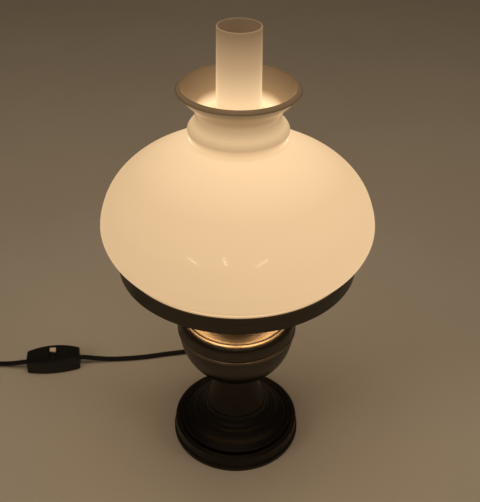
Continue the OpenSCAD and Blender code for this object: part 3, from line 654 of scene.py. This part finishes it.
turned("centre_tip", [(0.02, 194.8), (1.2, 194.85), (2.1, 195.3), (2.4, 196.2), (2.4, 197), (0.02, 197)],
       BRASS, "bulb", "brass", "bulb_tip", sides=32)
turned("arm_carrier", rounded([(29.1, 196), (33, 196), (33, 203), (29.1, 203)], 0.5),
       PEWTER, "lamp", "pewter", "spider_ring")


# ---- straps, prisms and the switch -----------------------------------------------------

def flat_section(width, thick, edge, steps=4):
    """Points round a flat strip's cross-section, as (across, out), with rounded edges."""
    w, t = width / 2, thick / 2
    return rounded([(-w, -t), (w, -t), (w, t), (-w, t)], edge, steps)


def strap(name, path, across, width, thick, edge=0.3, loop=False):
    """A flat strip along path: the section at each point, square to the path, wide along across."""
    ahead = (np.roll(path, -1, 0) - np.roll(path, 1, 0)) if loop else np.gradient(path, axis=0)
    ahead /= np.linalg.norm(ahead, axis=1)[:, None]
    out = np.cross(across, ahead)
    section = flat_section(width, thick, edge)
    points = (path[:, None] + section[None, :, :1] * np.asarray(across)[None, None]
              + section[None, :, 1:] * out[:, None])
    if not loop:
        n = points.shape[1]
        points = np.concatenate([np.repeat(path[:1, None], n, 1), points, np.repeat(path[-1:, None], n, 1)])
    rows, cols = points.shape[:2]
    uv = np.stack(np.meshgrid(np.linspace(0, 1, cols + 1), np.linspace(0, 1, rows + 1)), -1)
    piece = grid_mesh(name, points, uv, closed=loop)
    merge_close(piece)
    return piece


def prism(name, outline, low, high, edge, steps=5):
    """The outline (x, y) carried from low to high in Z, its edges rounded off by quarter circles."""
    p = np.asarray(outline, float)
    t = np.radians(np.linspace(0, 90, steps))
    inset = np.concatenate([edge * (1 - np.sin(t)), edge * (1 - np.cos(t))])
    level = np.concatenate([low + edge * (1 - np.cos(t)), high - edge * (1 - np.sin(t))])
    d = np.roll(p, -1, 0) - np.roll(p, 1, 0)
    d /= np.linalg.norm(d, axis=1)[:, None]
    rings = p[None] + inset[:, None, None] * np.stack([-d[:, 1], d[:, 0]], 1)[None]
    points = np.concatenate([rings, np.broadcast_to(level[:, None, None], rings.shape[:2] + (1,))], 2)
    middle = p.mean(0)
    ends = [np.broadcast_to([*middle, z], (1, len(p), 3)) for z in (low, high)]
    points = np.concatenate([ends[0], points, ends[1]])
    uv = np.stack(np.meshgrid(np.linspace(0, 1, len(p) + 1), np.linspace(0, 1, len(points))), -1)
    piece = grid_mesh(name, points, uv)
    merge_close(piece)
    return piece


SWITCH_X, SWITCH_Y, SWITCH_TURN = -234.5, 98.0, 8.0
SWITCH_HALF, SWITCH_W, SWITCH_H = 33.0, 16.5, 21.0
SIDE_DROP, END_DROP = 5.0, 2.6
SPLIT_Z = 9.5
SLOT_X, SLOT_Y, SLOT_Z = 4.4, 10.1, 13.6


def to_switch():
    """From the switch's own frame, with X along the cord, to the lamp's."""
    place = Matrix.Translation((SWITCH_X * MM, SWITCH_Y * MM, 0))
    return place @ Matrix.Rotation(math.radians(SWITCH_TURN), 4, "Z")


def bow(x, most, drop):
    """A shallow curve: most at the middle, falling by drop at the switch's ends as the square of x."""
    return most - drop * (x / SWITCH_HALF) ** 2


def stations(marks, fine, edge):
    """Places from the first mark to the last, with close pairs of lines just inside and outside each mark."""
    coarse = np.linspace(marks[0], marks[-1], fine)
    close = [m + d for m in marks[1:-1] for d in (-edge, 0.0, edge)]
    return np.unique(np.round(np.concatenate([coarse, close]), 4))


def switch_half(name, upper):
    """Half of the barrel-shaped switch: a cross-section that follows the bowed sides and top.

    Each section is a loop of (y, z): for the upper half up one side, over a rounded shoulder, across
    the top and down again. The slot is a step down in the top, wherever |x| and |y| are both inside it.
    """
    x = stations((-SWITCH_HALF, -SLOT_X, SLOT_X, SWITCH_HALF), 60, 0.15)
    tip = np.linspace(0, 1, 7)[1:]
    end = SWITCH_HALF
    curl = 0.01 + 1.2 * (1 - np.sqrt(1 - tip[:-1] ** 2))
    between = x[(x > -end + 1.2) & (x < end - 1.2)]
    x = np.concatenate([[-end], -end + curl, between, end - curl[::-1], [end]])
    inset = 1.2 * (1 - np.sqrt(np.clip(1 - ((np.abs(x) - (end - 1.2)) / 1.2).clip(0, 1) ** 2, 0, 1)))
    wide = bow(x, SWITCH_W, SIDE_DROP) - inset
    if upper:
        high = bow(x, SWITCH_H, END_DROP) - inset
        shoulder = arc((0, 0), 1, 0, 90, 9)
        t = stations((-1.0, -SLOT_Y / SWITCH_W, SLOT_Y / SWITCH_W, 1.0), 30, 0.012)[1:-1]
        r = 3.2
        corner_y, corner_z = wide[:, None] - r, high[:, None] - r
        right = np.stack([corner_y + r * shoulder[:, 0], corner_z + r * shoulder[:, 1]], -1)
        left = np.stack([-corner_y - r * shoulder[::-1, 0], corner_z + r * shoulder[::-1, 1]], -1)
        # the top sags a little from its middle line to its shoulders
        flat_y = -corner_y * t[None, :]
        flat = np.stack([flat_y, high[:, None] + 0.35 * (1 - t[None, :] ** 2)], -1)
        foot = np.stack([wide, np.full_like(wide, SPLIT_Z + 0.15)], -1)[:, None]
        lip = np.stack([wide - 0.3, np.full_like(wide, SPLIT_Z)], -1)[:, None]
        mirror = np.array([-1, 1.0])
        loop = np.concatenate([lip, foot, right, flat, left, foot * mirror, lip * mirror], 1)
    else:
        r = 1.6
        shoulder = arc((0, 0), 1, 0, -90, 7)
        corner_y = wide[:, None] - r
        right = np.stack([corner_y + r * shoulder[:, 0], r + 0.05 + inset[:, None] + r * shoulder[:, 1]], -1)
        lip = np.stack([wide - 0.3, np.full_like(wide, SPLIT_Z)], -1)[:, None]
        foot = np.stack([wide, np.full_like(wide, SPLIT_Z - 0.35)], -1)[:, None]
        mirror = np.array([-1, 1.0])
        left = right[:, ::-1] * mirror
        loop = np.concatenate([lip, foot, right, left, foot * mirror, lip * mirror], 1)[:, ::-1]
    y, z = loop[..., 0], loop[..., 1]
    xs = np.broadcast_to(x[:, None], y.shape)
    if upper:
        inside = (np.abs(xs) < SLOT_X - 0.01) & (np.abs(y) < SLOT_Y) & (z > SWITCH_H - 6)
        z = np.where(inside, SLOT_Z, z)
    middle = np.array([(SPLIT_Z + (SWITCH_H - END_DROP)) / 2 if upper else SPLIT_Z / 2 + 0.5])
    points = np.stack([xs, y, z], -1)
    caps = [np.broadcast_to([e, 0, middle[0]], (1, points.shape[1], 3)) for e in (-end, end)]
    points = np.concatenate([caps[0], points, caps[1]])
    uv = np.stack(np.meshgrid(np.linspace(0, 1, points.shape[1] + 1), np.linspace(0, 1, len(points))), -1)
    piece = grid_mesh(name, points, uv)
    merge_close(piece)
    sharp_edges(piece, 40)
    return moved(piece, to_switch())


def sharp_edges(piece, degrees):
    """Edges that bend more than this many degrees stay crisp; the rest of the surface is smooth."""
    piece.data.set_sharp_from_angle(angle=math.radians(degrees))


finish_with(switch_half("switch_upper_half", True), BLACK, "lamp", "black_plastic", "switch_cover")
finish_with(switch_half("switch_lower_half", False), BLACK, "lamp", "black_plastic", "switch_base")

ROCKER_Z, ROCKER_W, ROCKER_REACH = 17.0, 7.8, 8.6


def make_rocker():
    """The rocker: a shallow V on top, a round belly below, both carried across its width, and tipped back."""
    top = smooth([(ROCKER_REACH - 0.6, 5.3), (4.6, 4.5), (1.6, 3.95), (0, 3.8), (-1.6, 3.95), (-4.6, 4.5),
                  (-ROCKER_REACH + 0.6, 5.3)], 5)
    ends = [arc((-ROCKER_REACH + 1.1, 4.2), 1.1, 110, 180, 5), [(-ROCKER_REACH, 2.0), (-ROCKER_REACH, 0.2)]]
    belly = arc((0, 4), 6.6, 215, 325, 16)
    back = [[(ROCKER_REACH, 0.2), (ROCKER_REACH, 2.0)], arc((ROCKER_REACH - 1.1, 4.2), 1.1, 0, 70, 5)]
    outline = np.concatenate([top, *ends, belly, *back])
    piece = prism("rocker", outline, -ROCKER_W / 2, ROCKER_W / 2, 0.7)
    upright = Matrix(((0, 0, 1, 0), (1, 0, 0, 0), (0, 1, 0, 0), (0, 0, 0, 1)))
    tip = Matrix.Translation((0, 0, ROCKER_Z * MM)) @ Matrix.Rotation(math.radians(15), 4, "X")
    return moved(piece, to_switch() @ tip @ upright)


def rocker_plastic():
    """Cream over the rear lobe and dark over the sunk front one, parted by a soft line across the top."""
    f = Finish("rocker_plastic")
    here, x, y, z, away = f.place()
    rear = f.span(y, 0.0985, 0.1005, 0.0, 1.0)
    grain = f.noise(here, 1500.0, 2.0)
    cream = f.ramp(grain, [(0.3, (0.78, 0.65, 0.44)), (0.7, (0.86, 0.74, 0.52))])
    dark = f.ramp(grain, [(0.3, (0.004, 0.004, 0.004)), (0.7, (0.009, 0.008, 0.008))])
    f.set(Base_Color=f.mix(rear, dark, cream), Roughness=f.span(grain, 0.3, 0.7, 0.3, 0.4))
    return f.material


finish_with(make_rocker(), rocker_plastic(), "rocker", "cream_plastic", "switch_rocker")


# ---- arms, rivets, tie, strain relief and plug -----------------------------------------

ARM_ANGLES = {"front": 270, "right": 30, "left": 150}
ARM_PATH = smooth([(33, 203.7), (33, 200.6), (33, 197.8), (34.6, 195.4), (38.6, 194.6), (45, 195.8),
                   (58, 200.4), (74, 210.4), (88, 223.6), (98, 235), (103.6, 240.4), (109, 242.2),
                   (113, 242.2), (117.5, 242.2)], 5)
for side, angle in ARM_ANGLES.items():
    middle = beside(ARM_PATH, 0.8)
    bent = np.stack([middle[:, 0], 0 * middle[:, 0], middle[:, 1]], 1)
    arm = strap("arm_" + side, bent, (0, 1, 0), 9, 1.5, 0.35)
    moved(arm, Matrix.Rotation(math.radians(angle), 4, "Z"))
    finish_with(arm, ARM_METAL, "lamp", "pewter", "shade_arm_" + side)


def dome(name, radius, height, turn):
    """A rivet head: part of a ball, height tall on a flat circle of this radius, set down by turn."""
    t = np.linspace(0, 1, 10)
    side = np.stack([radius * np.cos(t * np.pi / 2) + 0.01, height * np.sin(t * np.pi / 2)], 1)
    return moved(lathe(name, np.concatenate([[(0.01, -0.3), (radius, -0.3)], side]), 28), turn)


def make_rivets():
    heads = []
    for side, angle in ARM_ANGLES.items():
        spin = Matrix.Rotation(math.radians(angle), 4, "Z")
        inner = Matrix.Translation((34.6 * MM, 0, 200.9 * MM)) @ Matrix.Rotation(math.radians(90), 4, "Y")
        outer = Matrix.Translation((114.5 * MM, 0, 242.1 * MM)) @ Matrix.Rotation(math.radians(180), 4, "X")
        heads += [dome("rivet", 2.4, 1.2, spin @ inner), dome("rivet", 2.4, 1.2, spin @ outer)]
    return joined("rivet_heads", heads)


finish_with(make_rivets(), BRASS, "lamp", "brass", "arm_rivets")


def make_tie():
    """The strap round the coil: a rounded box path in the coil's radial plane, closed on itself."""
    loop = rounded([(21.5, 0.6), (46.5, 0.6), (46.5, 13.5), (21.5, 13.5)], 3.5, 6)
    path = np.stack([loop[:, 0], 0 * loop[:, 0], loop[:, 1]], 1)
    tie = strap("coil_tie", path, (0, 1, 0), 7, 1.0, 0.25, loop=True)
    turn = Matrix.Translation((COIL_X * MM, COIL_Y * MM, 0)) @ Matrix.Rotation(math.radians(306), 4, "Z")
    return moved(tie, turn)


finish_with(make_tie(), RUBBER, "lamp", "black_rubber", "cord_tie")


def ribbed(points, from_y, to_y, count, depth):
    """The outline (radius, distance) with count shallow grooves between two distances."""
    p = np.asarray(points, float)
    run = np.linspace(from_y, to_y, count * 8 + 1)
    radius = np.interp(run, p[:, 1], p[:, 0])
    grooves = radius - depth * (1 - np.cos(2 * np.pi * (run - from_y) * count / (to_y - from_y))) / 2
    before, after = p[p[:, 1] < from_y], p[p[:, 1] > to_y]
    return np.concatenate([before, np.stack([grooves, run], 1), after])


RELIEF = [(4.5, 70.6), (4.5, 72.6), (6.5, 72.7), (6.8, 73.1), (6.8, 74.2), (6.4, 74.7), (5.7, 76), (5.2, 80),
          (4.6, 87), (4.2, 92), (3.9, 96)]
relief_outline = np.concatenate([ribbed(RELIEF, 77.5, 92, 6, 0.55), [(3.05, 96), (3.0, 70.6)]])
relief = lathe("cord_sleeve", relief_outline, 48)
turned_about_y(relief, 0, 0, 8)
moved(relief, Matrix.Diagonal((1, -1, 1, 1)))
relief.data.flip_normals()
finish_with(relief, RUBBER, "lamp", "black_rubber", "cord_relief")

PLUG_X, PLUG_Z, PLUG_Y = -399.0, 7.0, 4.0
PLUG_RELIEF = [(3.9, 0), (4.3, 8), (4.9, 16), (5.6, 24)]
sleeve_outline = np.concatenate([ribbed(PLUG_RELIEF, 3, 21, 6, 0.7), [(5.6, 24.5), (3, 24.5), (3, 0)]])
sleeve = lathe("plug_sleeve", sleeve_outline, 48)
finish_with(turned_about_y(sleeve, PLUG_X, PLUG_Y, PLUG_Z), RUBBER, "lamp", "black_rubber", "plug_relief")


def make_plug():
    """Flat plug body: a bottle-shaped outline with well rounded edges."""
    side = smooth([(7.2, 0.3), (8.2, 3), (9.4, 7), (11, 12), (14.4, 20), (17, 26), (17.6, 30),
                   (17.6, 35.2)], 5)
    right = np.concatenate([[(5, 0)], side, [(16.8, 36), (6, 36)]])
    outline = np.concatenate([right, right[::-1] * (-1, 1)])[:, ::1]
    body = prism("plug_body_shell", outline, 0.05, 13.95, 3.0, 7)
    return moved(body, Matrix.Translation((PLUG_X * MM, -20 * MM, 0)) @ Matrix.Rotation(math.pi, 4, "Z"))


finish_with(make_plug(), BLACK, "lamp", "black_plastic", "plug_body")


def make_pins():
    pins = []
    for side in (-1, 1):
        outline = np.concatenate([[(0.01, -2), (1.6, -2), (1.6, 0.5), (1.8, 0.5), (2, 0.7), (2, 17.2)],
                                  arc((0, 17.2), 2, 0, 88, 9)])
        outline = np.concatenate([outline[:-9], outline[-9:] * (1, 1)])
        pins.append(turned_about_y(lathe("pin", outline, 32), PLUG_X + side * 9.5, -56, PLUG_Z))
    return joined("contact_pins", pins)


finish_with(make_pins(), NICKEL, "lamp", "nickel", "plug_pins")

# the pieces whose CAD shape is shown as it is
CAD_FINISH = {
    "base_weight": IRON, "weight_screws": STEEL, "base_plate": STEEL, "lamp_pipe": BRASS, "bottom_nut": BRASS,
    "bottom_washer": STEEL, "collar_nut": BRASS, "burner_drum": BRASS, "chimney_gallery": BRASS,
    "chimney_prongs": BRASS, "holder_contact": BRASS, "bulb_filament": GLOWING, "inner_lead": RUBBER,
    "rocker_pin": STEEL, "switch_screws": STEEL, "switch_terminals": BRASS, "contact_blade": BRASS}
for node, material in CAD_FINISH.items():
    shown = frame["nodes"][node]
    shown.data.materials.clear()
    shown.data.materials.append(material)


# ---- floor and light -------------------------------------------------------------------

def make_floor():
    """A plain pale floor that curves up into a backdrop far behind."""
    y = np.concatenate([np.linspace(-3500, 1600, 30), 1600 + 700 * np.sin(np.radians(np.linspace(3, 90, 20))),
                        np.full(6, 2300.0)])
    z = np.concatenate([np.zeros(30), 700 - 700 * np.cos(np.radians(np.linspace(3, 90, 20))),
                        np.linspace(900, 3200, 6)])
    x = np.linspace(-4000, 4000, 12)
    rows = np.repeat(y[:, None], 12, 1), np.repeat(z[:, None], 12, 1)
    points = np.stack([np.broadcast_to(x, (len(y), 12)), *rows], -1)
    uv = np.stack(np.meshgrid(np.linspace(0, 1, 12), np.linspace(0, 1, len(y))), -1)
    floor = grid_mesh("floor", points, uv, around=False)
    f = Finish("floor")
    here = f.place()[0]
    tone = f.ramp(f.noise(here, 3.0), [(0.3, (0.60, 0.53, 0.44)), (0.7, (0.64, 0.57, 0.47))])
    f.set(Base_Color=tone, Roughness=0.6)
    floor.data.materials.append(f.material)


def soft_light(name, place, target, size, power, colour):
    """A large square lamp that points from place to target, and leaves no square reflection on the glass."""
    light = bpy.data.lights.new(name, "AREA")
    light.energy, light.color, light.size = power, colour, size
    lamp = bpy.data.objects.new(name, light)
    turn = (Vector(target) - Vector(place)).to_track_quat("-Z", "Y").to_matrix().to_4x4()
    lamp.matrix_world = Matrix.Translation(place) @ turn
    lamp.visible_glossy = False
    bpy.context.scene.collection.objects.link(lamp)


def strip_light(name, start, end, target, width, power, colour):
    """A narrow lamp from start to end, facing target: its reflection is a short streak."""
    start, end, target = Vector(start), Vector(end), Vector(target)
    middle = (start + end) / 2
    along = (end - start).normalized()
    back = (middle - target).normalized()
    back = (back - back.dot(along) * along).normalized()
    light = bpy.data.lights.new(name, "AREA")
    light.shape, light.size, light.size_y = "RECTANGLE", (end - start).length, width
    light.energy, light.color = power, colour
    lamp = bpy.data.objects.new(name, light)
    axes = Matrix([along, back.cross(along), back]).transposed().to_4x4()
    lamp.matrix_world = Matrix.Translation(middle) @ axes
    bpy.context.scene.collection.objects.link(lamp)


def bulb_light(name, height, radius, power, colour):
    """The bulb's light under the shade: a disc that shines down on the arms, their rivets, the burner's
    collar disc and the font's top.
    """
    light = bpy.data.lights.new(name, "AREA")
    light.shape, light.size = "DISK", 2 * radius
    light.energy, light.color = power, colour
    lamp = bpy.data.objects.new(name, light)
    lamp.location = (0, 0, height)
    lamp.visible_camera = False
    bpy.context.scene.collection.objects.link(lamp)
    lit = bpy.data.collections.new("lit_by_the_bulb")
    for piece in bpy.data.objects:
        if piece.type == "MESH" and piece.name.startswith(LIT_BY_BULB):
            lit.objects.link(piece)
    lamp.light_linking.receiver_collection = lit


# the pieces under the shade that the bulb's own light reaches
LIT_BY_BULB = ("stepped_top", "arm_", "rivet", "collar_disc")
make_floor()
world = bpy.data.worlds.new("studio")
world.use_nodes = True
world.node_tree.nodes["Background"].inputs[0].default_value = (0.62, 0.50, 0.38, 1)
world.node_tree.nodes["Background"].inputs[1].default_value = 0.10
bpy.context.scene.world = world
bpy.context.scene.view_settings.view_transform = "Standard"
WARM = (1.0, 0.84, 0.64)
soft_light("overhead", (0.0, -0.1, 1.7), (0, 0, 0.1), 1.3, 6.5, WARM)
soft_light("left", (-1.6, -0.9, 1.2), (0, 0, 0.2), 0.9, 4.5, WARM)
soft_light("right", (1.7, -0.6, 1.0), (0, 0, 0.2), 0.7, 3.5, WARM)
strip_light("streak_left", (-0.82, -0.94, 0.96), (-0.65, -1.16, 0.80), (0, -0.12, 0.32), 0.014, 0.22, WARM)
strip_light("streak_middle", (-0.23, -1.12, 1.13), (-0.19, -1.26, 0.94), (0, -0.12, 0.32), 0.014, 0.22, WARM)
strip_light("streak_right", (0.34, -1.25, 0.89), (0.50, -1.09, 1.05), (0, -0.12, 0.32), 0.014, 0.22, WARM)
bulb_light("bulb_light", 0.31, 0.085, 2.0, (1.0, 0.60, 0.26))
